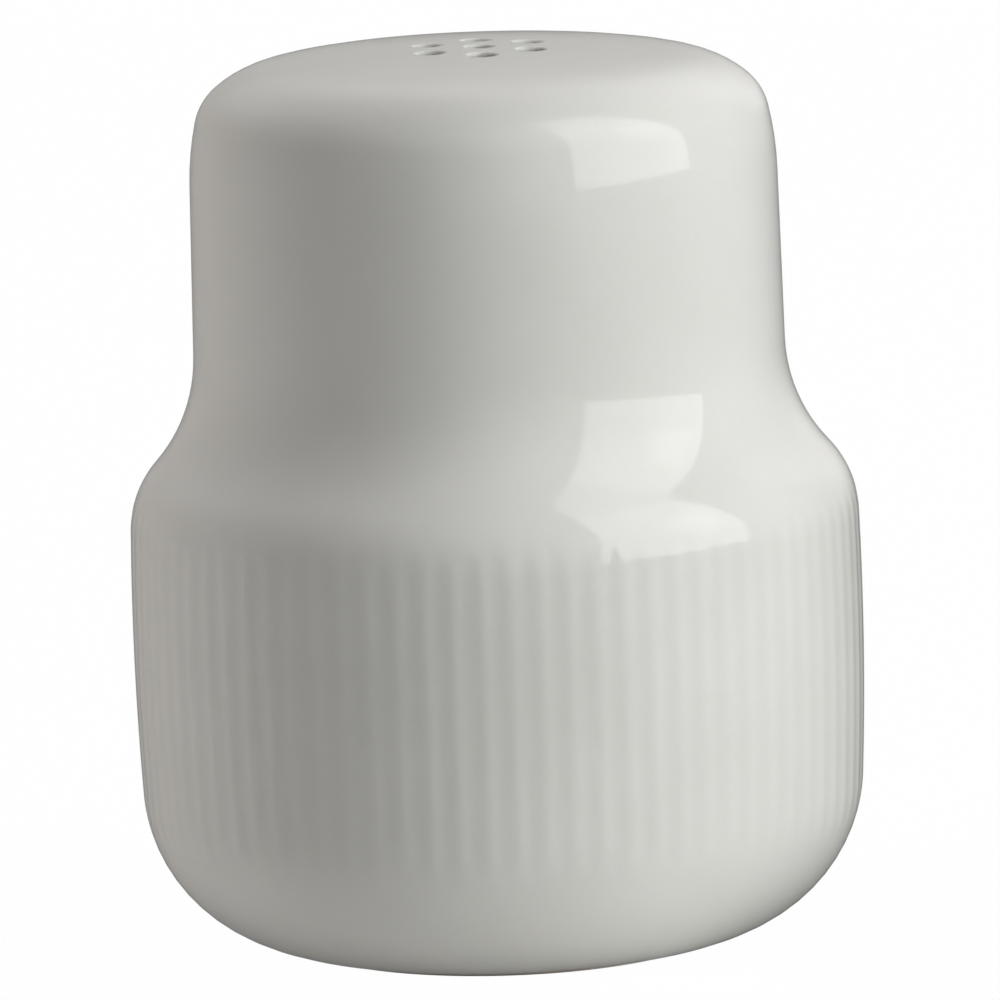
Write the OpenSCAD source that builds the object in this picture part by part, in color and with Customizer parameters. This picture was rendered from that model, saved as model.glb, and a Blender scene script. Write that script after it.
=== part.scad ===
// Salt shaker cast in one piece of glazed porcelain, with a soft stopper in its base.
// The axis of the shaker is Z, the foot ring stands on z = 0, and sizes are in millimetres.

/* [Outer form] */
// Height from the table to the middle of the crown
height = 64; // [58:0.5:76]
// Largest diameter of the lower wall
belly_d = 52; // [46:0.5:60]
// Height of the largest diameter
belly_z = 24; // [20:0.5:27]
// Radius of the slight barrel curve of the lower wall
belly_r = 235; // [150:5:400]
// Radius of the round between the lower wall and the base
base_r = 12.5; // [11:0.5:15]
// Height at which the wall starts to turn in to the shoulder
shoulder_z = 30; // [28:0.5:34]
// Radius of the convex round of the shoulder
shoulder_r = 7; // [5:0.5:9]
// Radius of the hollow round where the shoulder runs up into the neck
neck_foot_r = 12; // [8:0.5:16]
// Diameter of the neck
neck_d = 42; // [36:0.5:45]
// Radius of the round at the edge of the top
top_r = 6; // [4.5:0.5:9]
// Radius of the domed crown
crown_r = 140; // [90:5:250]

/* [Ribs] */
// Number of ribs round the lower wall
rib_count = 80; // [48:1:88]
// Width of the groove between two ribs
groove_w = 1.4; // [0.8:0.1:1.6]
// Depth of a groove below the wall
groove_depth = 0.3; // [0.2:0.05:0.4]

/* [Pour holes] */
// Diameter of a pour hole
pour_d = 2; // [1.5:0.1:2.6]
// Number of holes in the ring round the middle hole
pour_count = 6; // [3:1:7]
// Diameter of the circle through the holes of the ring
pour_ring_d = 8.2; // [7:0.1:14]
// Turn of the ring of holes about the axis, in degrees
pour_turn = 33; // [0:1:60]
// Width of the dished rim of a pour hole
pour_rim = 0.3; // [0.1:0.05:0.5]

/* [Wall and base] */
// Thickness of the porcelain
wall = 3; // [2:0.1:4]
// Outer diameter of the foot ring
foot_d = 30; // [28:0.5:34]
// Width of the foot ring
foot_w = 2.5; // [2:0.1:3]
// Height of the step between the foot ring and the round of the base
foot_step = 0.15; // [0.1:0.05:0.6]
// Depth of the hollow under the base
recess_depth = 4.5; // [4:0.1:5.5]
// Radius of the hollow's inner corner
recess_r = 0.8; // [0.4:0.1:0.9]
// Diameter of the filling hole
fill_d = 18; // [15:0.5:19]

/* [Stopper] */
// Gap between the flange and the wall of the hollow
flange_gap = 1; // [1:0.1:1.5]
// Thickness of the flange
flange_t = 1.6; // [1.2:0.1:2]
// Length of the plug above its flange
plug_l = 7; // [6:0.5:10]
// Thickness of the plug's wall
plug_wall = 1.6; // [1.2:0.1:2.4]
// Gap between the sealing ribs and the filling hole
plug_gap = 0.1; // [0.05:0.05:0.2]
// Number of sealing ribs on the plug
seal_count = 3; // [2:1:4]
// Height of a sealing rib above the plug's wall
seal_h = 0.5; // [0.3:0.1:0.7]
// Length of the grip bar under the flange
grip_l = 14; // [10:0.5:16]
// Thickness of the grip bar
grip_t = 2.4; // [2:0.2:4]
// Gap between the grip bar and the table
grip_gap = 0.7; // [0.4:0.1:1.2]

/* [Hidden] */
$fa = 2;
$fs = 0.25;

// A cutter runs past the faces that it cuts by this much
overrun = 1;
// Arcs that blend into each other lap by this much, so that their crossing is a clean point
lap = 0.004;

belly_rad = belly_d / 2;
neck_rad = neck_d / 2;
foot_rad = foot_d / 2;
pour_rad = pour_d / 2;
pour_ring_rad = pour_ring_d / 2;
// Radius of the ball that dishes the rim of a pour hole
pour_rim_ball = pour_d;
fill_rad = fill_d / 2;

// Centres of the arcs of the outer form, as [distance from the axis, height].
// Each arc touches its neighbours, so the outline has no corner between the foot and the crown.
belly_c = [belly_rad - belly_r, belly_z];
base_c = [inside_belly(base_r, foot_step + base_r), foot_step + base_r];
shoulder_c = [inside_belly(shoulder_r, shoulder_z), shoulder_z];
neck_foot_reach = neck_rad + neck_foot_r - shoulder_c[0];
neck_foot_c = [neck_rad + neck_foot_r, shoulder_z + leg(neck_foot_r + shoulder_r, neck_foot_reach)];
crown_c = [0, height - crown_r];
top_c = [neck_rad - top_r, crown_c[1] + leg(crown_r - top_r, neck_rad - top_r)];

// Base, from the table up
base_underside = recess_depth;
floor_z = base_underside + wall;
recess_rad = foot_rad - foot_w;
flange_rad = recess_rad - flange_gap;

// Stopper
flange_z = base_underside - flange_t;
plug_rad = fill_rad - plug_gap - seal_h;
seal_pitch = plug_l / (seal_count + 1);

// Grooves
groove_rad = (groove_w * groove_w / 4 + groove_depth * groove_depth) / (2 * groove_depth);

// Second short side of a right-angled triangle
function leg(longest, side) = sqrt(longest * longest - side * side);

// Distance from the axis of the centre of an arc that touches the belly arc from inside
function inside_belly(arc_r, z) = belly_c[0] + leg(belly_r - arc_r, z - belly_z);

// Point where two touching arcs meet: it lies on the line through their centres
function touch(c, arc_r, other_c) = c + arc_r * (c - other_c) / norm(c - other_c);

// Height of the crown's face at a distance from the axis
function crown_z(from_axis) = crown_c[1] + leg(crown_r, from_axis);

// Disc about a centre, given as [distance from the axis, height]
module disc(centre, disc_r) {
    translate(centre)
        circle(r = disc_r);
}

// Strip of the half section between two heights, from the axis out to a radius
module strip(out_to, low_z, high_z) {
    translate([0, low_z])
        square([out_to, high_z - low_z]);
}

// Half section of the outer form, drawn in by an equal distance all over, from a given height up.
// Convex arcs lose the inset from their radius, and the hollow arc below the neck gains it.
module half_form(inset, bottom_z) {
    intersection() {
        disc(belly_c, belly_r - inset);
        wall_and_shoulder(inset, bottom_z);
    }
    intersection() {
        disc(crown_c, crown_r - inset);
        neck_and_top(inset);
    }
}

// What lies below the neck, before the belly arc trims it
module wall_and_shoulder(inset, bottom_z) {
    strip(belly_rad + overrun, max(base_c[1], bottom_z), shoulder_z);
    strip(base_c[0], bottom_z, shoulder_z);
    intersection() {
        disc(base_c, base_r - inset + lap);
        strip(belly_rad + overrun, bottom_z, shoulder_z);
    }
    intersection() {
        disc(shoulder_c, shoulder_r - inset + lap);
        strip(belly_rad + overrun, shoulder_z, neck_foot_c[1]);
    }
    difference() {
        polygon([[0, shoulder_z], shoulder_c, neck_foot_c, [0, neck_foot_c[1]]]);
        disc(neck_foot_c, neck_foot_r + inset);
    }
}

// The neck and the round of the top, before the crown arc trims them
module neck_and_top(inset) {
    strip(neck_rad - inset, neck_foot_c[1], top_c[1]);
    strip(top_c[0], top_c[1], height);
    intersection() {
        disc(top_c, top_r - inset + lap);
        strip(neck_rad - inset, top_c[1], height);
    }
}

// Half section of the porcelain: the outer form with its foot, without chamber and recess
module porcelain_section() {
    difference() {
        union() {
            half_form(0, foot_step);
            strip(foot_rad, 0, floor_z);
        }
        half_form(wall, floor_z);
        recess_section();
        strip(fill_rad, 0, floor_z + overrun);
    }
}

// Half section of the hollow under the base, with a round in its inner corner
module recess_section() {
    flat_rad = recess_rad - recess_r;
    flat_z = base_underside - recess_r;
    strip(recess_rad, 0, flat_z);
    strip(flat_rad, 0, base_underside);
    intersection() {
        disc([flat_rad, flat_z], recess_r);
        strip(recess_rad, flat_z, base_underside);
    }
}

// One groove of the ribbed band. It follows the barrel curve of the wall at an even depth, and runs out
// by itself where the shoulder and the round of the base turn away from that curve.
module groove() {
    low_z = touch(base_c, base_r, belly_c)[1] - 2 * sqrt(2 * base_r * groove_depth);
    high_z = touch(shoulder_c, shoulder_r, belly_c)[1] + 2 * sqrt(2 * shoulder_r * groove_depth);
    low_angle = asin((low_z - belly_z) / belly_r);
    high_angle = asin((high_z - belly_z) / belly_r);
    translate([belly_c[0], 0, belly_z])
        rotate([90, 0, 0])
            rotate_extrude(angle = high_angle - low_angle, start = low_angle)
                translate([belly_r - groove_depth + groove_rad, 0])
                    circle(r = groove_rad);
}

// One pour hole with its dished rim, at a distance from the axis
module pour_hole(from_axis) {
    face_z = crown_z(from_axis);
    translate([from_axis, 0, face_z - wall - overrun])
        cylinder(h = wall + 2 * overrun, r = pour_rad);
    translate([from_axis, 0, face_z + leg(pour_rim_ball, pour_rad + pour_rim)])
        sphere(r = pour_rim_ball);
}

module porcelain_body() {
    color("whitesmoke")
        difference() {
            rotate_extrude()
                porcelain_section();
            for (i = [0 : rib_count - 1])
                rotate([0, 0, i * 360 / rib_count])
                    groove();
            pour_hole(0);
            for (i = [0 : pour_count - 1])
                rotate([0, 0, pour_turn + i * 360 / pour_count])
                    pour_hole(pour_ring_rad);
        }
}

// Half section of the stopper: flange, hollow plug and round sealing ribs
module stopper_section() {
    difference() {
        union() {
            translate([0, flange_z])
                square([flange_rad, flange_t]);
            translate([0, base_underside])
                square([plug_rad, plug_l]);
            for (i = [1 : seal_count])
                translate([plug_rad, base_underside + i * seal_pitch])
                    intersection() {
                        circle(r = seal_h);
                        translate([0, -seal_h])
                            square([seal_h, 2 * seal_h]);
                    }
        }
        translate([0, base_underside])
            square([plug_rad - plug_wall, plug_l + overrun]);
    }
}

// Grip bar with round ends, which hangs from the flange
module grip_bar() {
    end_rad = grip_t / 2;
    end_x = grip_l / 2 - end_rad;
    translate([0, 0, grip_gap])
        linear_extrude(height = flange_z - grip_gap) {
            square([2 * end_x, grip_t], center = true);
            for (side = [-1, 1])
                intersection() {
                    translate([side * end_x, 0])
                        circle(r = end_rad);
                    translate([side * (end_x + end_rad / 2), 0])
                        square([end_rad, grip_t], center = true);
                }
        }
}

module base_stopper() {
    color("gainsboro") {
        rotate_extrude()
            stopper_section();
        grip_bar();
    }
}

porcelain_body();
base_stopper();
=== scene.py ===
# %% [markdown]
# # A glazed porcelain salt shaker
# The shaker is cast in one piece of porcelain, dipped in clear glaze and fired on its foot ring. A soft
# stopper closes the filling hole in its base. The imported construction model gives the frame: where each
# piece is and what it moves with. This lesson models both pieces again as smooth meshes and gives them
# their finishes. The frame is loaded first, because every piece has to sit in it.

# %% Load the frame
import math

import bpy
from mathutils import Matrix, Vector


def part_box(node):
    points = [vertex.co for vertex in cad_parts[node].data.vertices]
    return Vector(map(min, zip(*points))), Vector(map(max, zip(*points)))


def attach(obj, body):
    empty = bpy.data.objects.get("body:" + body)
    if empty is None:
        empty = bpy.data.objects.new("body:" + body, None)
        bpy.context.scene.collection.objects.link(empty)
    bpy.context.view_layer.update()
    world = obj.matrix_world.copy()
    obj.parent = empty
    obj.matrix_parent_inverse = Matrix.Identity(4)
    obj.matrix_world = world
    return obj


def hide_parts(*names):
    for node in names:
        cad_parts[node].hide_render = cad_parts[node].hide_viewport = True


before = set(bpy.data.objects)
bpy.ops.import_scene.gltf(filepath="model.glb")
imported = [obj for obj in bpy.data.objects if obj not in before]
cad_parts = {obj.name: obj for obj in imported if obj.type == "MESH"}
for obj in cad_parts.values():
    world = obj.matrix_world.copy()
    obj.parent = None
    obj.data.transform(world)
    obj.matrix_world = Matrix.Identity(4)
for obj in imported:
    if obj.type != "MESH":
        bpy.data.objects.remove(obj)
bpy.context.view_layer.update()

print("nodes:", sorted(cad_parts))

# %% [markdown]
# ## Sizes
# A turned form is given by a few radii and heights, as on a potter's template. Blender works in metres,
# so each size is written in millimetres times mm. The outer form is a chain of arcs that touch each
# other: the round of the base, the slight barrel of the lower wall, the shoulder, the hollow below the
# neck, four soft arcs over the edge of the top, and the crown. The neck between is straight and leans in a
# little. Each arc's centre follows from its neighbours, so no corner shows in the reflections. An arc of the
# top is given by its radius and by the bearing, in degrees above level, where the arc over it takes over.

# %% Sizes of the outer form
mm = 0.001
height = 64 * mm
belly_radius = 26 * mm
belly_z = 23.5 * mm
barrel_radius = 235 * mm
base_round = 11.7 * mm
shoulder_z = 30 * mm
shoulder_round = 7 * mm
neck_hollow = 12 * mm
neck_radius = 21 * mm
crown_radius = 137.3 * mm
top_rounds = ((25 * mm, 84.5), (7.6 * mm, 79), (4 * mm, 50), (22 * mm, 12.5))
wall = 3 * mm


def other_leg(longest, side):
    """The second short side of a right-angled triangle."""
    return math.sqrt(longest * longest - side * side)


def inside_barrel(arc_radius, z):
    """Centre, as (distance from the axis, height), of an arc that touches the barrel from inside."""
    return (barrel_c[0] + other_leg(barrel_radius - arc_radius, z - belly_z), z)


def bearing(centre, point):
    """Angle of a point seen from a centre, from the outward direction towards up."""
    return math.atan2(point[1] - centre[1], point[0] - centre[0])


def around(centre, radius, angle):
    """The point at a bearing and a distance from a centre."""
    return (centre[0] + radius * math.cos(angle), centre[1] + radius * math.sin(angle))


foot_step = 0.15 * mm
barrel_c = (belly_radius - barrel_radius, belly_z)
base_c = inside_barrel(base_round, foot_step + base_round)
shoulder_c = inside_barrel(shoulder_round, shoulder_z)
hollow_reach = neck_radius + neck_hollow - shoulder_c[0]
hollow_c = (neck_radius + neck_hollow, shoulder_z + other_leg(neck_hollow + shoulder_round, hollow_reach))
crown_c = (0.0, height - crown_radius)
lead_c, lead_round = crown_c, crown_radius
top_arcs = []
for next_round, degrees in top_rounds:
    lead_c = around(lead_c, lead_round - next_round, math.radians(degrees))
    lead_round = next_round
    top_arcs.insert(0, (lead_c, math.radians(degrees)))
neck_lean = bearing(lead_c, hollow_c) + math.acos((neck_hollow + lead_round) / math.dist(lead_c, hollow_c))

low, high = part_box("porcelain_body")
print(f"the neck leans in by {math.degrees(neck_lean):.2f} degrees")
print(f"height {height / mm:.2f} mm, and {(high.z - low.z) / mm:.2f} mm in the construction model")
print(f"widest {2 * belly_radius / mm:.2f} mm, and {(high.x - low.x) / mm:.2f} mm in the construction model")

# %% [markdown]
# ## Drawing an outline
# A turned piece starts as an outline in the XZ plane. It can be drawn as by hand: a plane is merged to
# one point, a straight stretch is an extrude of that point, and an arc is a spin of it about the arc's
# centre. The point that comes last stays selected, so the next stretch goes on from there.

# %% Helpers for outlines
pen = [0.0, 0.0]


def start_outline(name, x, z):
    """A new object of one point, in edit mode."""
    bpy.ops.object.select_all(action="DESELECT")
    bpy.ops.mesh.primitive_plane_add(size=mm)
    outline = bpy.context.object
    outline.name = name
    bpy.ops.object.mode_set(mode="EDIT")
    bpy.ops.mesh.select_all(action="SELECT")
    bpy.ops.mesh.merge(type="CENTER")
    bpy.ops.transform.translate(value=(x, 0, z))
    pen[:] = (x, z)
    return outline


def line_to(x, z, steps=1):
    """A straight stretch from the last point, in equal steps."""
    step = ((x - pen[0]) / steps, 0, (z - pen[1]) / steps)
    for _ in range(steps):
        bpy.ops.mesh.extrude_region_move(TRANSFORM_OT_translate={"value": step})
    pen[:] = (x, z)


def arc_to(centre, end, steps):
    """An arc about a centre from the last point to a bearing, the short way round."""
    start = bearing(centre, pen)
    sweep = (end - start + math.pi) % (2 * math.pi) - math.pi
    radius = math.dist(centre, pen)
    axis = (0, math.copysign(1, sweep), 0)
    bpy.ops.mesh.spin(steps=steps, angle=abs(sweep), center=(centre[0], 0, centre[1]), axis=axis)
    pen[:] = around(centre, radius, end)


def turn_outline(steps):
    """Spins the whole outline once round the axis of the shaker, and closes the seam and the poles."""
    bpy.ops.mesh.select_all(action="SELECT")
    bpy.ops.mesh.spin(steps=steps, angle=2 * math.pi, center=(0, 0, 0), axis=(0, 0, 1))
    bpy.ops.mesh.select_all(action="SELECT")
    bpy.ops.mesh.remove_doubles(threshold=0.001 * mm)
    bpy.ops.object.mode_set(mode="OBJECT")


def say(piece, what):
    """Prints what a step has made."""
    mesh = piece.data
    print(f"{piece.name}: {what}, {len(mesh.vertices)} points, {len(mesh.polygons)} faces")


# %% [markdown]
# ## Outer skin
# The outside of the porcelain is what the eye sees, so it gets the finest mesh. The ribs later need nine
# points each, so the outline is spun in nine steps for each of the eighty ribs. The rows are closer
# together where the ribs run out, on the shoulder and on the round of the base. The outline starts under
# the foot ring and ends on the crown, where a separate plate with the pour holes closes it.

# %% Outer skin
rib_count = 80
points_per_rib = 9
outer_steps = rib_count * points_per_rib
foot_radius = 15 * mm
foot_edge = 0.1 * mm
rib_low_z = 8.6 * mm
rib_high_z = 32.9 * mm
plate_radius = 9.5 * mm
top_steps = (4, 7, 6, 2)

foot_on_round = base_c[1] - other_leg(base_round, foot_radius - base_c[0])
base_end = bearing(barrel_c, base_c)
barrel_end = bearing(barrel_c, shoulder_c)
shoulder_end = bearing(shoulder_c, hollow_c)
plate_end = math.acos(plate_radius / crown_radius)

body = start_outline("porcelain_shell", foot_radius - foot_edge, 0)
arc_to((foot_radius - foot_edge, foot_edge), 0, steps=3)
line_to(foot_radius, foot_on_round)
arc_to(base_c, math.asin((rib_low_z - base_c[1]) / base_round), steps=12)
arc_to(base_c, base_end, steps=9)
arc_to(barrel_c, barrel_end, steps=8)
arc_to(shoulder_c, math.asin((rib_high_z - shoulder_c[1]) / shoulder_round), steps=9)
arc_to(shoulder_c, shoulder_end, steps=6)
arc_to(hollow_c, math.pi + neck_lean, steps=12)
line_to(*around(lead_c, lead_round, neck_lean), steps=4)
for (centre, upper), arc_steps in zip(top_arcs, top_steps):
    arc_to(centre, upper, steps=arc_steps)
arc_to(crown_c, plate_end, steps=4)
turn_outline(outer_steps)
say(body, "outer skin")

# %% [markdown]
# ## Inner skin
# The chamber inside follows the outer form at the thickness of the wall, because slip cast in a plaster
# mould sets to an even wall. Below it come the floor, the filling hole, the hollow under the base and the
# flat of the foot ring. The outline starts where the outer one does and ends inside the crown. Nobody
# sees ribs here, so a fifth as many steps are enough.

# %% Inner skin
inner_steps = outer_steps // 5
recess_radius = 12.5 * mm
recess_depth = 4.5 * mm
recess_round = 0.8 * mm
fill_radius = 9 * mm
fill_edge = 0.5 * mm
floor_z = recess_depth + wall
floor_end = math.asin((floor_z - base_c[1]) / (base_round - wall))
up = math.pi / 2
left = math.pi

inner = start_outline("inner_skin", foot_radius - foot_edge, 0)
line_to(recess_radius + foot_edge, 0)
arc_to((recess_radius + foot_edge, foot_edge), left, steps=3)
line_to(recess_radius, recess_depth - recess_round)
arc_to((recess_radius - recess_round, recess_depth - recess_round), up, steps=5)
line_to(fill_radius + fill_edge, recess_depth)
arc_to((fill_radius + fill_edge, recess_depth + fill_edge), left, steps=4)
line_to(fill_radius, floor_z - fill_edge)
arc_to((fill_radius + fill_edge, floor_z - fill_edge), up, steps=4)
line_to(*around(base_c, base_round - wall, floor_end), steps=3)
arc_to(base_c, base_end, steps=6)
arc_to(barrel_c, barrel_end, steps=4)
arc_to(shoulder_c, shoulder_end, steps=5)
arc_to(hollow_c, math.pi + neck_lean, steps=8)
line_to(*around(lead_c, lead_round - wall, neck_lean))
for centre, upper in top_arcs:
    arc_to(centre, upper, steps=3)
arc_to(crown_c, plate_end, steps=3)
turn_outline(inner_steps)
say(inner, "inner skin")

# %% [markdown]
# ## Plate with the pour holes
# Seven holes go through the crown: one in the middle and six in a ring. A boolean would cut them, but it
# leaves stray slivers that glaze shows up. Seven holes in this pattern fit a honeycomb, so one cell is
# modelled as a hole in a hexagon, and six copies are spun round it. The flat comb is cast onto the dome,
# gets the thickness of the wall and loses the steep faces of its rim, where the skins will join it. The
# edges of its holes are bevelled, because glaze draws back from a sharp edge and leaves it round.

# %% Honeycomb of pour holes
pour_radius = 1 * mm
pour_ring_radius = 4.1 * mm
pour_turn = math.radians(33)
hole_points = 48
cell_corner = pour_ring_radius / math.sqrt(3)
near = 0.01 * mm


def select_points(piece, test):
    """Selects the points that pass a test on their place, and nothing else, and goes to edit mode."""
    bpy.ops.object.mode_set(mode="EDIT")
    bpy.ops.mesh.select_mode(type="VERT")
    bpy.ops.mesh.select_all(action="DESELECT")
    bpy.ops.object.mode_set(mode="OBJECT")
    for vertex in piece.data.vertices:
        vertex.select = test(vertex.co)
    bpy.ops.object.mode_set(mode="EDIT")


bpy.ops.object.select_all(action="DESELECT")
bpy.ops.mesh.primitive_circle_add(vertices=6, radius=cell_corner)
plate = bpy.context.object
plate.name = "pour_plate"
bpy.ops.object.mode_set(mode="EDIT")
bpy.ops.mesh.subdivide(number_cuts=hole_points // 6 - 1)
bpy.ops.mesh.primitive_circle_add(vertices=hole_points, radius=pour_radius)
bpy.ops.mesh.select_all(action="SELECT")
bpy.ops.mesh.bridge_edge_loops(number_cuts=2, interpolation="LINEAR")
bpy.ops.mesh.select_all(action="SELECT")
bpy.ops.mesh.duplicate_move(TRANSFORM_OT_translate={"value": (pour_ring_radius, 0, 0)})
bpy.ops.mesh.spin(steps=5, angle=5 * math.pi / 3, center=(0, 0, 0), axis=(0, 0, 1), dupli=True)
bpy.ops.mesh.select_all(action="SELECT")
bpy.ops.mesh.remove_doubles(threshold=near)
bpy.ops.object.mode_set(mode="OBJECT")
plate.rotation_euler.z = pour_turn
bpy.ops.object.transform_apply(rotation=True)
say(plate, "comb of seven holes")

# %% Rim of the plate
clear_of_holes = 1.2 * pour_radius
hole_centres = [(0.0, 0.0)]
for i in range(6):
    turn = pour_turn + i * math.pi / 3
    hole_centres.append((pour_ring_radius * math.cos(turn), pour_ring_radius * math.sin(turn)))


def from_hole(point):
    """Distance of a point from the nearest axis of a pour hole."""
    return min(math.hypot(point.x - x, point.y - y) for x, y in hole_centres)


bpy.ops.object.mode_set(mode="EDIT")
flat_radius = crown_radius / math.tan(plate_end)
bpy.ops.mesh.primitive_circle_add(vertices=inner_steps, radius=flat_radius)
bpy.ops.mesh.select_mode(type="VERT")
bpy.ops.mesh.select_non_manifold(extend=False)
bpy.ops.object.mode_set(mode="OBJECT")
points = plate.data.vertices
for edge in plate.data.edges:
    edge.select = edge.select and from_hole(points[edge.vertices[0]].co) > clear_of_holes
for vertex in points:
    vertex.select = vertex.select and from_hole(vertex.co) > clear_of_holes
bpy.ops.object.mode_set(mode="EDIT")
bpy.ops.mesh.bridge_edge_loops(number_cuts=2, interpolation="LINEAR")
bpy.ops.mesh.select_all(action="SELECT")
bpy.ops.mesh.normals_make_consistent(inside=False)
bpy.ops.object.mode_set(mode="OBJECT")
say(plate, "plate with a round rim")

# %% Dome and thickness of the plate
pour_rim = 0.25 * mm
at_hole = 1.05 * pour_radius
at_rim = 0.97 * plate_radius
steep = 0.5
round_profile = 0.5


def apply_modifier(piece, kind, **settings):
    """Adds a modifier with these settings and applies it."""
    bpy.context.view_layer.objects.active = piece
    modifier = piece.modifiers.new(kind.lower(), kind)
    for name, value in settings.items():
        setattr(modifier, name, value)
    bpy.ops.object.modifier_apply(modifier=modifier.name)


bpy.ops.object.mode_set(mode="EDIT")
bpy.ops.mesh.select_all(action="SELECT")
if sum(face.normal.z for face in plate.data.polygons) < 0:
    bpy.ops.mesh.flip_normals()
bpy.ops.transform.translate(value=(0, 0, crown_radius))
bpy.ops.object.mode_set(mode="OBJECT")
apply_modifier(plate, "CAST", cast_type="SPHERE", factor=1, use_radius_as_size=False, size=crown_radius)
apply_modifier(plate, "SOLIDIFY", thickness=wall, offset=-1)
plate.location.z = crown_c[1]
bpy.ops.object.transform_apply(location=True)

select_points(plate, lambda co: math.hypot(co.x, co.y) > at_rim)
bpy.ops.mesh.select_mode(type="FACE")
bpy.ops.object.mode_set(mode="OBJECT")
for face in plate.data.polygons:
    face.select = face.select and abs(face.normal.z) < steep
bpy.ops.object.mode_set(mode="EDIT")
bpy.ops.mesh.delete(type="FACE")
select_points(plate, lambda co: from_hole(co) < at_hole and co.z > height - wall / 2)
bpy.ops.mesh.bevel(offset=pour_rim, segments=6, profile=round_profile, affect="EDGES")
bpy.ops.object.mode_set(mode="OBJECT")
say(plate, "domed plate with round hole rims")

# %% [markdown]
# ## One shell
# The three meshes meet edge on edge: the skins under the foot ring, and each skin with one side of the
# plate. Two edges weld cleanly when they have as many points, so the coarse edges of the inner skin and
# the plate are subdivided where they meet the fine outer skin. Then all is joined and the doubled points
# of the open edges are merged in two passes, the second a little wider. That leaves one closed surface
# that runs from the outside through the holes into the chamber, and its normals are recalculated.

# %% Refine the coarse edges
finer_cuts = outer_steps // inner_steps - 1


def only(piece):
    """Selects one object alone and makes it the active one."""
    bpy.ops.object.select_all(action="DESELECT")
    piece.select_set(True)
    bpy.context.view_layer.objects.active = piece


for piece, at_edge in (
    (inner, lambda co: co.z < near and math.hypot(co.x, co.y) > foot_radius - 2 * foot_edge),
    (plate, lambda co: co.z > height - wall / 2 and math.hypot(co.x, co.y) > plate_radius - near),
):
    only(piece)
    select_points(piece, at_edge)
    bpy.ops.mesh.subdivide(number_cuts=finer_cuts)
    bpy.ops.object.mode_set(mode="OBJECT")
    say(piece, "edge refined")

# %% Join and weld
wider = 5 * near
only(body)
inner.select_set(True)
plate.select_set(True)
bpy.ops.object.join()
bpy.ops.object.mode_set(mode="EDIT")
bpy.ops.mesh.select_mode(type="VERT")
for weld in (near, wider):
    bpy.ops.mesh.select_non_manifold(extend=False)
    bpy.ops.mesh.remove_doubles(threshold=weld)
bpy.ops.mesh.select_all(action="SELECT")
bpy.ops.mesh.normals_make_consistent(inside=False)
bpy.ops.mesh.select_non_manifold(extend=False)
bpy.ops.object.mode_set(mode="OBJECT")
print("open edges left:", sum(edge.select for edge in body.data.edges))
say(body, "closed shell")

# %% [markdown]
# ## Ribs
# Eighty fine grooves run up the lower wall, and leave ribs between them. They are pressed to an even depth
# below the barrel curve, so they run out by themselves where the shoulder and the base turn away from
# that curve. The glaze fills them and leaves a soft, much shallower relief. Each groove could be extruded,
# but a soft relief is easier as a Displace modifier: a vertex group says how deep each point goes. The same
# shares are kept as an attribute, because the glaze is thicker in the grooves and they are painted a little
# darker there as shade.

# %% Ribs
groove_width = 1.4 * mm
groove_depth = 0.3 * mm
groove_softness = 0.06 * mm
glazed_depth = 0.034 * mm
groove_round = (groove_width ** 2 / 4 + groove_depth ** 2) / (2 * groove_depth)
rib_pitch = 2 * math.pi / rib_count
sharp_from = math.radians(40)


def groove_share(co):
    """How deep a point lies in its groove, from 0 on a rib to 1 in the middle of a groove."""
    from_axis = math.hypot(co.x, co.y)
    turned_away = barrel_radius - math.dist(barrel_c, (from_axis, co.z))
    angle = math.atan2(co.y, co.x)
    aside = (angle - rib_pitch * round(angle / rib_pitch)) * from_axis
    pressed = groove_depth - turned_away - aside * aside / (2 * groove_round)
    return groove_softness * math.log1p(math.exp(pressed / groove_softness)) / groove_depth


shares = [0.0] * len(body.data.vertices)
for vertex in body.data.vertices:
    co = vertex.co
    if rib_low_z < co.z < rib_high_z and math.hypot(co.x, co.y) > belly_radius - wall / 2:
        shares[vertex.index] = groove_share(co)
grooves = body.vertex_groups.new(name="grooves")
for index, share in enumerate(shares):
    if share > 0:
        grooves.add([index], share, "REPLACE")
# The shares also set how much painted shade the glaze gets in the grooves.
pool_and_shade = body.data.attributes.new("glaze_pool_and_groove_shade", "FLOAT", "POINT")
pool_and_shade.data.foreach_set("value", shares)
apply_modifier(body, "DISPLACE", strength=-glazed_depth, mid_level=0, direction="NORMAL",
               vertex_group="grooves")
only(body)
bpy.ops.object.shade_smooth_by_angle(angle=sharp_from)
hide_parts("porcelain_body")
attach(body, "shaker")
say(body, "shell with ribs")

# %% [markdown]
# ## Stopper
# The stopper is moulded in one piece of soft rubber: a flange that bears on the base, a hollow plug with
# three round sealing ribs, and a bar to pull it by. The plug is turned from an outline, like the body. The
# bar starts as a cube at its size, has its upright edges and its lower edges bevelled, and laps into the
# flange. A Boolean unites the two, because in the real moulding they run into each other.

# %% Plug and flange
flange_gap = 1 * mm
flange_thickness = 1.6 * mm
flange_edge = 0.35 * mm
flange_radius = recess_radius - flange_gap
flange_low = recess_depth - flange_thickness
plug_length = 7 * mm
plug_wall = 1.6 * mm
plug_edge = 0.4 * mm
seal_count = 3
seal_height = 0.5 * mm
seal_gap = 0.1 * mm
seal_pitch = plug_length / (seal_count + 1)
plug_top = recess_depth + plug_length
plug_radius = fill_radius - seal_gap - seal_height
stopper_steps = 96
right = 0
down = -math.pi / 2

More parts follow.
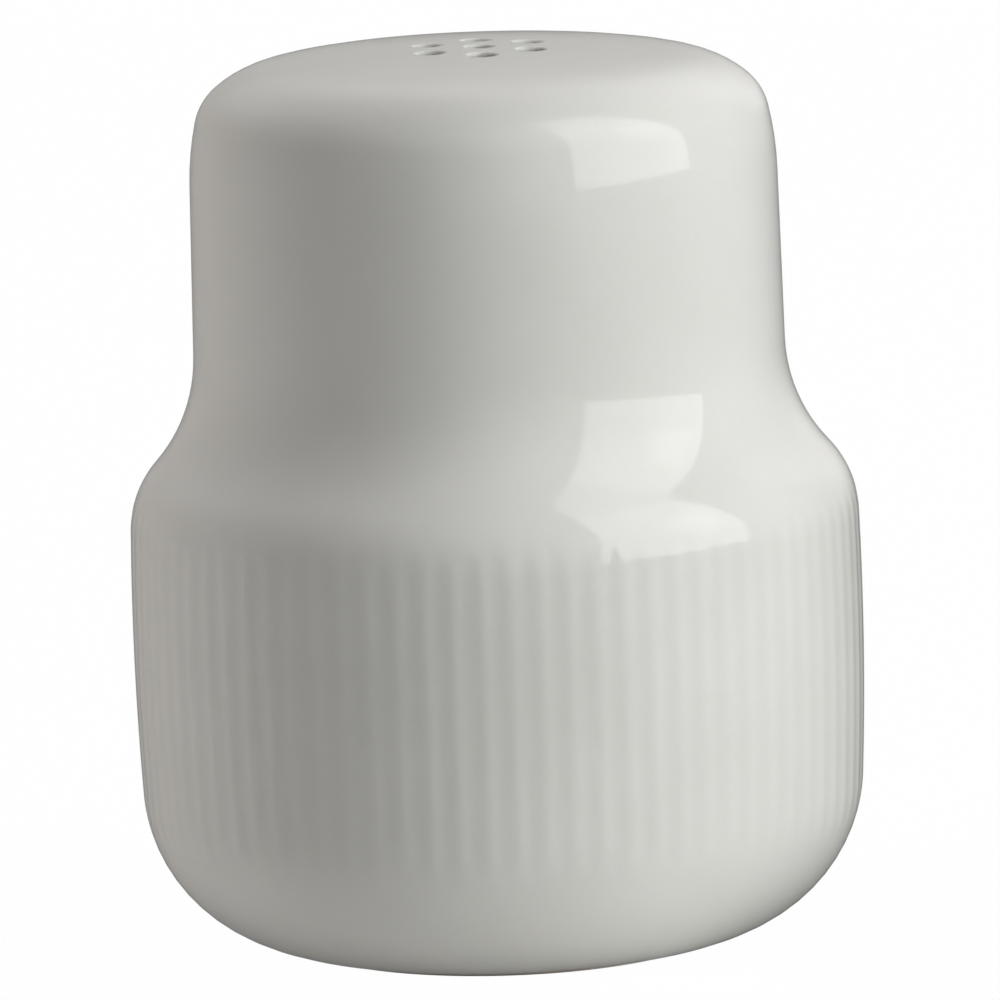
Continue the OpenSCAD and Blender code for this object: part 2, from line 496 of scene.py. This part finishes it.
stopper = start_outline("stopper", 0, flange_low)
line_to(flange_radius - flange_edge, flange_low, steps=2)
arc_to((flange_radius - flange_edge, flange_low + flange_edge), right, steps=5)
line_to(flange_radius, recess_depth - flange_edge)
arc_to((flange_radius - flange_edge, recess_depth - flange_edge), up, steps=5)
line_to(plug_radius + plug_edge, recess_depth)
arc_to((plug_radius + plug_edge, recess_depth + plug_edge), left, steps=5)
for i in range(seal_count):
    seal_z = recess_depth + (i + 1) * seal_pitch
    line_to(plug_radius, seal_z - seal_height)
    arc_to((plug_radius, seal_z), right, steps=5)
    arc_to((plug_radius, seal_z), up, steps=5)
line_to(plug_radius, plug_top - plug_edge)
arc_to((plug_radius - plug_edge, plug_top - plug_edge), up, steps=4)
line_to(plug_radius - plug_wall + plug_edge, plug_top)
arc_to((plug_radius - plug_wall + plug_edge, plug_top - plug_edge), left, steps=4)
line_to(plug_radius - plug_wall, recess_depth + plug_edge)
arc_to((plug_radius - plug_wall - plug_edge, recess_depth + plug_edge), down, steps=4)
line_to(0, recess_depth, steps=2)
turn_outline(stopper_steps)
bpy.ops.object.mode_set(mode="EDIT")
bpy.ops.mesh.select_all(action="SELECT")
bpy.ops.mesh.normals_make_consistent(inside=False)
bpy.ops.object.mode_set(mode="OBJECT")
say(stopper, "plug and flange")

# %% Grip bar
grip_length = 14 * mm
grip_thickness = 2.4 * mm
grip_low = 0.7 * mm
grip_lap = 0.5 * mm
grip_high = flange_low + grip_lap
grip_end = 0.48 * grip_thickness
grip_edge = 0.5 * mm

bpy.ops.object.select_all(action="DESELECT")
bpy.ops.mesh.primitive_cube_add(size=1, location=(0, 0, (grip_low + grip_high) / 2))
grip = bpy.context.object
grip.name = "grip_bar"
grip.scale = (grip_length, grip_thickness, grip_high - grip_low)
bpy.ops.object.transform_apply(location=True, scale=True)


def select_edges(piece, test):
    """Selects the edges whose two end points pass a test together, and goes to edit mode."""
    bpy.ops.object.mode_set(mode="EDIT")
    bpy.ops.mesh.select_mode(type="EDGE")
    bpy.ops.mesh.select_all(action="DESELECT")
    bpy.ops.object.mode_set(mode="OBJECT")
    points = piece.data.vertices
    for edge in piece.data.edges:
        edge.select = test(points[edge.vertices[0]].co, points[edge.vertices[1]].co)
    bpy.ops.object.mode_set(mode="EDIT")


select_edges(grip, lambda a, b: abs(a.z - b.z) > mm)
bpy.ops.mesh.bevel(offset=grip_end, segments=10, profile=round_profile, affect="EDGES")
select_edges(grip, lambda a, b: max(a.z, b.z) < grip_low + near)
bpy.ops.mesh.bevel(offset=grip_edge, segments=5, profile=round_profile, affect="EDGES")
bpy.ops.object.mode_set(mode="OBJECT")
say(grip, "grip bar")

# %% One moulding
stopper_sharp_from = math.radians(35)
apply_modifier(stopper, "BOOLEAN", operation="UNION", object=grip, solver="EXACT")
bpy.data.objects.remove(grip)
only(stopper)
bpy.ops.object.shade_smooth_by_angle(angle=stopper_sharp_from)
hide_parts("base_stopper")
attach(stopper, "stopper")
say(stopper, "stopper in one moulding")

# %% [markdown]
# ## A shared effect: mottle
# No fired or moulded surface has one even tone. A slow cloud and a fine grain are needed in both finishes,
# so they are built once as a shader node group. It reads the piece's own coordinates, in metres, so the
# scales are in features per metre. Each finish places the group with its own scales.

# %% Mottle group
def add_node(tree, kind, **values):
    """Adds a shader node, with values for its properties or, where a name is a socket's, for its inputs."""
    node = tree.nodes.new(kind)
    for name, value in values.items():
        if name in node.inputs:
            node.inputs[name].default_value = value
        else:
            setattr(node, name, value)
    return node


mottle = bpy.data.node_groups.new("mottle", "ShaderNodeTree")
for name in ("Cloud Scale", "Grain Scale"):
    mottle.interface.new_socket(name, in_out="INPUT", socket_type="NodeSocketFloat")
for name in ("Cloud", "Grain"):
    mottle.interface.new_socket(name, in_out="OUTPUT", socket_type="NodeSocketFloat")
enter = add_node(mottle, "NodeGroupInput")
leave = add_node(mottle, "NodeGroupOutput")
place = add_node(mottle, "ShaderNodeTexCoord")
for name, detail in (("Cloud", 2.0), ("Grain", 3.0)):
    noise = add_node(mottle, "ShaderNodeTexNoise", Detail=detail)
    mottle.links.new(place.outputs["Object"], noise.inputs["Vector"])
    mottle.links.new(enter.outputs[name + " Scale"], noise.inputs["Scale"])
    mottle.links.new(noise.outputs["Fac"], leave.inputs[name])
print("group:", mottle.name, [item.name for item in mottle.interface.items_tree])

# %% [markdown]
# ## Glaze
# The glaze is a clear glass over white porcelain. It is glossy and nearly colourless, a little warmer where
# it is thicker, as in the grooves, which are also painted a little darker as shade. It is wiped off the foot
# ring, or the shaker would stick to the kiln shelf, so a thin matt line of bare porcelain shows there; its
# lowest part is painted a dark warm brown. Light enters the white body a little, which softens the shading
# of the ribs, so the shader gets a short subsurface radius.

# %% Glazed porcelain
def new_material(name):
    """A new node material, with its tree and its shader."""
    material = bpy.data.materials.new(name)
    material.use_nodes = True
    return material, material.node_tree, material.node_tree.nodes["Principled BSDF"]


def mix_colour(tree, share, first, second):
    """Mixes two colours, each a value or a socket, by a socket, and gives the result."""
    mix = add_node(tree, "ShaderNodeMix", data_type="RGBA")
    tree.links.new(share, mix.inputs[0])
    for value, target in ((first, mix.inputs[6]), (second, mix.inputs[7])):
        if isinstance(value, tuple):
            target.default_value = value
        else:
            tree.links.new(value, target)
    return mix.outputs[2]


def remap(tree, value, from_low, from_high, to_low, to_high, smooth=False):
    """Maps a socket from one span to another, clamped, and gives the result."""
    span = add_node(tree, "ShaderNodeMapRange")
    span.interpolation_type = "SMOOTHSTEP" if smooth else "LINEAR"
    ends = {"From Min": from_low, "From Max": from_high, "To Min": to_low, "To Max": to_high}
    for name, number in ends.items():
        span.inputs[name].default_value = number
    tree.links.new(value, span.inputs["Value"])
    return span.outputs["Result"]


def add_mottle(tree, cloud_scale, grain_scale):
    """Places the mottle group in a material."""
    group = add_node(tree, "ShaderNodeGroup", node_tree=mottle)
    group.inputs["Cloud Scale"].default_value = cloud_scale
    group.inputs["Grain Scale"].default_value = grain_scale
    return group


def add_bump(tree, shader, height_socket, strength, distance):
    """Bumps a shader's surface by a height."""
    bump = add_node(tree, "ShaderNodeBump", Strength=strength, Distance=distance)
    tree.links.new(height_socket, bump.inputs["Height"])
    tree.links.new(bump.outputs["Normal"], shader.inputs["Normal"])


glaze_white = (0.80, 0.80, 0.775, 1)
glaze_cloudy = (0.77, 0.77, 0.74, 1)
# A darker, warmer white for the grooves: thicker glaze, and painted shade.
thick_glaze_and_groove_shade = (0.72, 0.725, 0.69, 1)
# The lowest band of the foot ring is painted this dark warm brown.
dark_foot_tone = (0.52, 0.44, 0.35, 1)
foot_band_low = 0.18 * mm
foot_band_high = 0.32 * mm
bare_roughness = 0.65
pool_and_shade_share = 0.3
glaze_clouds = 70
glaze_grains = 900
cloud_span = (0.35, 0.65)
noise_span = (0.3, 0.7)
glaze_roughness = (0.045, 0.075)
glaze_ior = 1.5
ripple_strength = 0.04
ripple_depth = 0.02 * mm
soft_share = 0.5
soft_radius = (1.0, 0.95, 0.85)
soft_reach = 1.0 * mm

glaze, tree, shader = new_material("white_glaze")
marks = add_mottle(tree, glaze_clouds, glaze_grains)
pooled_and_shaded = add_node(tree, "ShaderNodeAttribute", attribute_name="glaze_pool_and_groove_shade")
where = add_node(tree, "ShaderNodeTexCoord")
split = add_node(tree, "ShaderNodeSeparateXYZ")
tree.links.new(where.outputs["Object"], split.inputs["Vector"])
# The band at the bottom of the foot is matt, and painted dark warm brown, darkest at the bottom edge.
foot_band = remap(tree, split.outputs["Z"], foot_band_low, foot_band_high, 1, 0, smooth=True)
cloudy = remap(tree, marks.outputs["Cloud"], *cloud_span, 0, 1)
colour = mix_colour(tree, cloudy, glaze_white, glaze_cloudy)
# The grooves are painted darker: thicker glaze and painted shade together.
thick_and_shaded = remap(tree, pooled_and_shaded.outputs["Fac"], 0, 1, 0, pool_and_shade_share)
colour = mix_colour(tree, thick_and_shaded, colour, thick_glaze_and_groove_shade)
# Paints the bottom band of the foot dark warm brown.
colour = mix_colour(tree, foot_band, colour, dark_foot_tone)
tree.links.new(colour, shader.inputs["Base Color"])
gloss = remap(tree, marks.outputs["Cloud"], *noise_span, *glaze_roughness)
rough = add_node(tree, "ShaderNodeMath", operation="MULTIPLY_ADD")
tree.links.new(foot_band, rough.inputs[0])
rough.inputs[1].default_value = bare_roughness
tree.links.new(gloss, rough.inputs[2])
tree.links.new(rough.outputs["Value"], shader.inputs["Roughness"])
add_bump(tree, shader, marks.outputs["Grain"], ripple_strength, ripple_depth)
shader.inputs["IOR"].default_value = glaze_ior
shader.inputs["Subsurface Weight"].default_value = soft_share
shader.inputs["Subsurface Radius"].default_value = soft_radius
shader.inputs["Subsurface Scale"].default_value = soft_reach
body.data.materials.clear()
body.data.materials.append(glaze)
print("glaze nodes:", len(tree.nodes))

# %% [markdown]
# ## Rubber
# The stopper is pale, satin rubber. Its mould leaves a fine grain, and handling leaves it a little uneven in
# tone, so both outputs of the mottle group are used, at closer scales than on the glaze.

# %% Soft rubber
rubber_pale = (0.60, 0.61, 0.60, 1)
rubber_dull = (0.52, 0.53, 0.52, 1)
rubber_clouds = 220
rubber_grains = 4000
rubber_roughness = (0.42, 0.6)
grain_strength = 0.35
grain_depth = 0.05 * mm

rubber, tree, shader = new_material("pale_rubber")
marks = add_mottle(tree, rubber_clouds, rubber_grains)
uneven = remap(tree, marks.outputs["Cloud"], *noise_span, 0, 1)
tree.links.new(mix_colour(tree, uneven, rubber_pale, rubber_dull), shader.inputs["Base Color"])
satin = remap(tree, marks.outputs["Grain"], *noise_span, *rubber_roughness)
tree.links.new(satin, shader.inputs["Roughness"])
add_bump(tree, shader, marks.outputs["Grain"], grain_strength, grain_depth)
stopper.data.materials.clear()
stopper.data.materials.append(rubber)
print("rubber nodes:", len(tree.nodes))

# %% [markdown]
# ## Floor
# The shaker stands on a plain pale floor. What the porcelain needs from it is the light that it throws back
# under the round of the base: most of it from the front, less from the left and little from the right. So
# the floor's tone depends on the direction from the shaker, which the normalised Object coordinates give.
# The camera sees almost through the floor, so the picture runs out to white with a trace of a shadow. From
# below the floor is clear, or it would hide a pulled stopper. The gloss doesn't see it at all, because what
# the glaze mirrors is set by the surroundings in the next step.

# %% Floor
floor_size = 3
floor_drop = 0.02 * mm
floor_roughness = 0.9
floor_pale = (0.84, 0.84, 0.82, 1)
floor_right = (0.17, 0.17, 0.165, 1)
floor_left = (0.45, 0.45, 0.44, 1)
right_span = (0.55, 0.95)
left_span = (-0.65, -0.95)
shadow_share = 0.01

bpy.ops.object.select_all(action="DESELECT")
bpy.ops.mesh.primitive_plane_add(size=floor_size, location=(0, 0, -floor_drop))
floor = bpy.context.object
floor.name = "floor"
floor.visible_glossy = False

paper, tree, shader = new_material("pale_floor")
where = add_node(tree, "ShaderNodeTexCoord")
outward = add_node(tree, "ShaderNodeVectorMath", operation="NORMALIZE")
tree.links.new(where.outputs["Object"], outward.inputs[0])
split = add_node(tree, "ShaderNodeSeparateXYZ")
tree.links.new(outward.outputs["Vector"], split.inputs["Vector"])
to_right = remap(tree, split.outputs["X"], *right_span, 0, 1, smooth=True)
to_left = remap(tree, split.outputs["X"], *left_span, 0, 1, smooth=True)
colour = mix_colour(tree, to_right, floor_pale, floor_right)
colour = mix_colour(tree, to_left, colour, floor_left)
tree.links.new(colour, shader.inputs["Base Color"])
shader.inputs["Roughness"].default_value = floor_roughness

# %% What hides the floor
clear = add_node(tree, "ShaderNodeBsdfTransparent")
path_kind = add_node(tree, "ShaderNodeLightPath")
side = add_node(tree, "ShaderNodeNewGeometry")
seen = add_node(tree, "ShaderNodeMath", operation="MULTIPLY")
seen.inputs[1].default_value = 1 - shadow_share
tree.links.new(path_kind.outputs["Is Camera Ray"], seen.inputs[0])
hidden = add_node(tree, "ShaderNodeMath", operation="MAXIMUM")
tree.links.new(seen.outputs["Value"], hidden.inputs[0])
tree.links.new(side.outputs["Backfacing"], hidden.inputs[1])
blend = add_node(tree, "ShaderNodeMixShader")
tree.links.new(hidden.outputs["Value"], blend.inputs["Fac"])
tree.links.new(shader.outputs["BSDF"], blend.inputs[1])
tree.links.new(clear.outputs["BSDF"], blend.inputs[2])
tree.links.new(blend.outputs["Shader"], tree.nodes["Material Output"].inputs["Surface"])
floor.data.materials.append(paper)
print("floor at", round(floor.location.z / mm, 3), "mm, nodes:", len(tree.nodes))

# %% [markdown]
# ## Surroundings
# A glossy glaze mirrors the whole room, so the room matters as much as the lamps. A few tones are enough: a
# ground that is dim on the left and dark on the right, a horizon that is brighter on the right and falls off
# at the far right, and a bright zenith. A picture could hold them, but a gradient by direction needs no
# file. Only the gloss sees this room. The camera sees plain white, and the matt part of the shading is left
# to the lamps.

# %% Surroundings
ground_sheen = (0.30, 0.03)
ground_span = (-0.7, 0.7)
horizon_sheen = (0.36, 0.8)
horizon_span = (-0.5, 0.5)
far_right_span = (0.4, 0.8)
far_right_share = 0.3
ground_to_horizon = (-0.15, 0.1)
zenith_sheen = 1.5
zenith_span = (0.05, 1)
sky_tint = (1.02, 1, 0.96, 1)

world = bpy.data.worlds.new("studio")
world.use_nodes = True
bpy.context.scene.world = world
tree = world.node_tree
white = tree.nodes["Background"]
white.inputs["Color"].default_value = (1, 1, 1, 1)
sky = add_node(tree, "ShaderNodeBackground", Color=sky_tint)
heading = add_node(tree, "ShaderNodeTexCoord")
split = add_node(tree, "ShaderNodeSeparateXYZ")
tree.links.new(heading.outputs["Generated"], split.inputs["Vector"])
path_kind = add_node(tree, "ShaderNodeLightPath")
rise = split.outputs["Z"]
aside = split.outputs["X"]
horizon = add_node(tree, "ShaderNodeMix", data_type="FLOAT")
tree.links.new(remap(tree, rise, *ground_to_horizon, 0, 1, smooth=True), horizon.inputs[0])
tree.links.new(remap(tree, aside, *ground_span, *ground_sheen, smooth=True), horizon.inputs[2])
level = add_node(tree, "ShaderNodeMath", operation="MULTIPLY")
tree.links.new(remap(tree, aside, *horizon_span, *horizon_sheen, smooth=True), level.inputs[0])
tree.links.new(remap(tree, aside, *far_right_span, 1, far_right_share, smooth=True), level.inputs[1])
tree.links.new(level.outputs["Value"], horizon.inputs[3])
all_round = add_node(tree, "ShaderNodeMath", operation="ADD")
tree.links.new(horizon.outputs[0], all_round.inputs[0])
tree.links.new(remap(tree, rise, *zenith_span, 0, zenith_sheen, smooth=True), all_round.inputs[1])

# %% Who sees the surroundings
mirrored = add_node(tree, "ShaderNodeMath", operation="MULTIPLY")
tree.links.new(all_round.outputs["Value"], mirrored.inputs[0])
tree.links.new(path_kind.outputs["Is Glossy Ray"], mirrored.inputs[1])
tree.links.new(mirrored.outputs["Value"], sky.inputs["Strength"])
blend = add_node(tree, "ShaderNodeMixShader")
tree.links.new(path_kind.outputs["Is Camera Ray"], blend.inputs["Fac"])
tree.links.new(sky.outputs["Background"], blend.inputs[1])
tree.links.new(white.outputs["Background"], blend.inputs[2])
tree.links.new(blend.outputs["Shader"], tree.nodes["World Output"].inputs["Surface"])
bpy.context.scene.view_settings.view_transform = "Standard"
print("world:", world.name, "nodes:", len(tree.nodes))

# %% [markdown]
# ## Lights
# A tall window on the right is the key. It shapes the form, and its mirror image gives the bright patches
# with crisp edges below the edge of the top, in the hollow of the neck and on the shoulder. Its glow on the
# white body and its image in the glaze need different strengths, so there are two kinds of panel: a glow is
# seen by the matt part of a surface alone, and a sheen by the gloss alone. The image of the window is built
# of stacked panes with a brighter one among them.

# %% A helper for panels
from mathutils import Matrix, Vector


def panel(name, azimuth, distance, middle, tilt, size, glow=0, sheen=0, tint=(1, 1, 1)):
    """A panel round the shaker, in metres and degrees. Azimuth 0 is at the camera and 90 on the right,
    middle is the height of the panel's middle, and tilt is 0 upright, 90 facing down and -90 facing up."""
    turn = math.radians(azimuth)
    tipped = math.radians(tilt)
    place = Vector((distance * math.sin(turn), -distance * math.cos(turn), middle))
    lamps = []
    for part, radiance in (("glow", glow), ("sheen", sheen)):
        if radiance == 0:
            continue
        bpy.ops.object.select_all(action="DESELECT")
        bpy.ops.object.light_add(type="AREA", location=place)
        lamp = bpy.context.object
        lamp.name = f"{name}_{part}"
        lamp.rotation_euler = (math.pi / 2 - tipped, 0, turn)
        lamp.data.shape = "RECTANGLE"
        lamp.data.size, lamp.data.size_y = size
        lamp.data.energy = radiance * math.pi * size[0] * size[1]
        lamp.data.color = tint
        lamp.visible_diffuse = part == "glow"
        lamp.visible_glossy = part == "sheen"
        lamp.visible_camera = False
        lamp.data.cycles.use_multiple_importance_sampling = part == "sheen"
        lamps.append(lamp)
        print(f"{lamp.name}: {lamp.data.energy:.3f} W")
    return lamps


# %% The image of the window
window_azimuth = 61.5
window_distance = 0.6
window_width = 0.585
window_sheen = 2.1
panel("window", window_azimuth, window_distance, 0.32, 0, (window_width, 0.5), sheen=window_sheen)
panel("window_top", window_azimuth, window_distance, 0.73, 0, (window_width, 0.32), sheen=window_sheen)
panel("skylight", window_azimuth, window_distance, 1.3, 0, (window_width, 0.82), sheen=1.4)
panel("bright_pane", 73, 0.57, 0.38, 0, (0.18, 0.26), sheen=0.9)

# %% [markdown]
# ## Glow
# The matt part of the porcelain gets its key from the right and an edge from a low, warm panel behind on
# the left. High panels light the crown and the shoulder. Two panels are below the floor. One is there for
# a pulled stopper. The other is a weak fill from the front, like light from a table top, and light linking
# lets it through the floor: only the shaker's own pieces block it.

# %% Glow round the shaker
warm = (1.06, 1.0, 0.98)
level_size = (0.5, 0.4)
high_size = (0.7, 0.5)
panel("right", 65, 0.9, 0.2, 0, level_size, glow=9.2)
panel("high_right", 68, 0.7, 0.8, 45, high_size, glow=2.4)
panel("left", -113, 0.9, 0.09, 0, (0.6, 0.18), glow=10.8, tint=warm)
panel("high_left", -100, 0.7, 0.8, 45, high_size, glow=0.35, tint=warm)
panel("high_back", 180, 0.7, 0.8, 45, high_size, glow=1.85)
panel("overhead", 0, 0.05, 0.9, 90, (0.7, 0.7), glow=0.37)

# %% Glow from below
panel("under", 0, 0.2, -0.5, -90, (0.6, 0.6), glow=0.9)
blockers = bpy.data.collections.new("blockers_of_the_fill")
blockers.objects.link(body)
blockers.objects.link(stopper)
for lamp in panel("fill", 3, 0.6, -0.13, -12, level_size, glow=0.43):
    lamp.light_linking.blocker_collection = blockers

# %% [markdown]
# ## Camera
# The picture is taken from a little above the table, from far away with a long lens, so the sides run
# nearly parallel. The shaker leans a little to the left in it, so the camera is turned about its own line
# of sight by the same angle.

# %% Camera
view_height = math.radians(9.4)
view_roll = math.radians(-1.9)
view_distance = 0.9
view_width = 71.1 * mm
sensor = 36
view_target = Vector((0.415 * mm, 0, 31.45 * mm))

bpy.ops.object.select_all(action="DESELECT")
bpy.ops.object.camera_add()
camera = bpy.context.object
camera.location = view_target + view_distance * Vector((0, -math.cos(view_height), math.sin(view_height)))
tilt = Matrix.Rotation(math.pi / 2 - view_height, 3, "X")
camera.rotation_euler = (tilt @ Matrix.Rotation(view_roll, 3, "Z")).to_euler()
camera.data.sensor_width = sensor
camera.data.lens = sensor * view_distance / view_width
bpy.context.scene.camera = camera
print(f"lens {camera.data.lens:.1f} mm at {view_distance} m")
